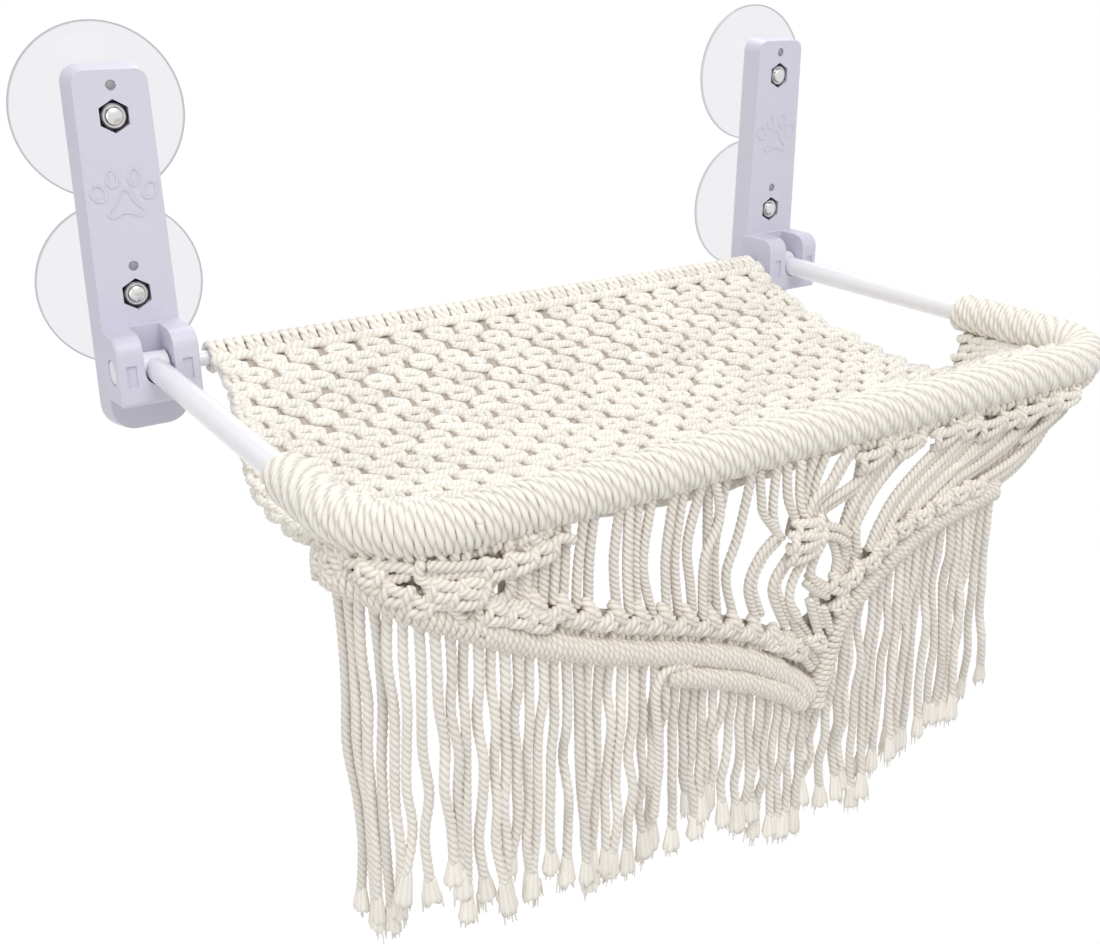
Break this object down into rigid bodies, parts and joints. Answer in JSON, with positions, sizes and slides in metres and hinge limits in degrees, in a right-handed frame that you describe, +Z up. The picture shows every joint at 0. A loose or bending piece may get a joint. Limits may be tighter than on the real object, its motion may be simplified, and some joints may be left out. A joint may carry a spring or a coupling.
{
  "type": "window mounted cat perch",
  "caption": "Fold-up macrame cat hammock on a U-shaped tube frame, hinged to moulded brackets that hold to a window pane by suction cups.",
  "frame": {"origin": "on the window pane, midway between the brackets and between the upper and lower cups", "axes": "+Y into the pane, -Y into the room, +Z up, +X along the pane"},
  "size_m": [0.504, 0.2996, 0.3774],
  "materials": {
    "bracket_plastic": "satin injection-moulded ABS, white with a faint lavender cast",
    "knuckle_plastic": "white moulded nylon",
    "clear_cup": "clear soft PVC, glossy",
    "plated_steel": "zinc-plated steel",
    "coated_tube": "gloss white powder coat on steel",
    "cotton_cord": "natural three-strand cotton cord, 4.5 mm",
    "cotton_knots": "natural cotton macrame, square knots and double half hitches"
  },
  "bodies": {
    "brackets": {"bracket_left": "bracket_plastic", "bracket_right": "bracket_plastic", "suction_cup_upper_left": "clear_cup", "suction_cup_lower_left": "clear_cup", "suction_cup_upper_right": "clear_cup", "suction_cup_lower_right": "clear_cup", "cup_studs": "plated_steel", "stud_nuts": "plated_steel"},
    "frame": {"frame_tube": "coated_tube", "arm_knuckle_left": "knuckle_plastic", "arm_knuckle_right": "knuckle_plastic", "hinge_rod": "coated_tube", "rod_end_cap_left": "knuckle_plastic", "rod_end_cap_right": "knuckle_plastic", "front_wrap": "cotton_cord", "corner_wrap_left": "cotton_cord", "corner_wrap_right": "cotton_cord", "arm_wrap_left": "cotton_cord", "arm_wrap_right": "cotton_cord", "rear_wrap": "cotton_cord", "seat_panel": "cotton_knots"},
    "skirt": {"valance": "cotton_knots", "hem_roll_left": "cotton_knots", "hem_roll_right": "cotton_knots", "lower_hem_roll": "cotton_knots", "fringe_left": "cotton_cord", "fringe_middle": "cotton_cord", "fringe_right": "cotton_cord"}
  },
  "joints": [
    {"name": "frame_fold", "type": "hinge", "parent": "brackets", "child": "frame", "pos_m": [0, -0.041, -0.0765], "axis": [-1, 0, 0], "range_deg": [0, 90]},
    {"name": "skirt_hang", "type": "hinge", "parent": "frame", "child": "skirt", "pos_m": [0, -0.289, -0.0765], "axis": [-1, 0, 0], "range_deg": [-90, 0], "deforming": ["valance", "hem_roll_left", "hem_roll_right", "lower_hem_roll", "fringe_left", "fringe_middle", "fringe_right"]}
  ],
  "couplings": [
    {"joint": "skirt_hang", "follows": "frame_fold", "ratio": -1}
  ]
}
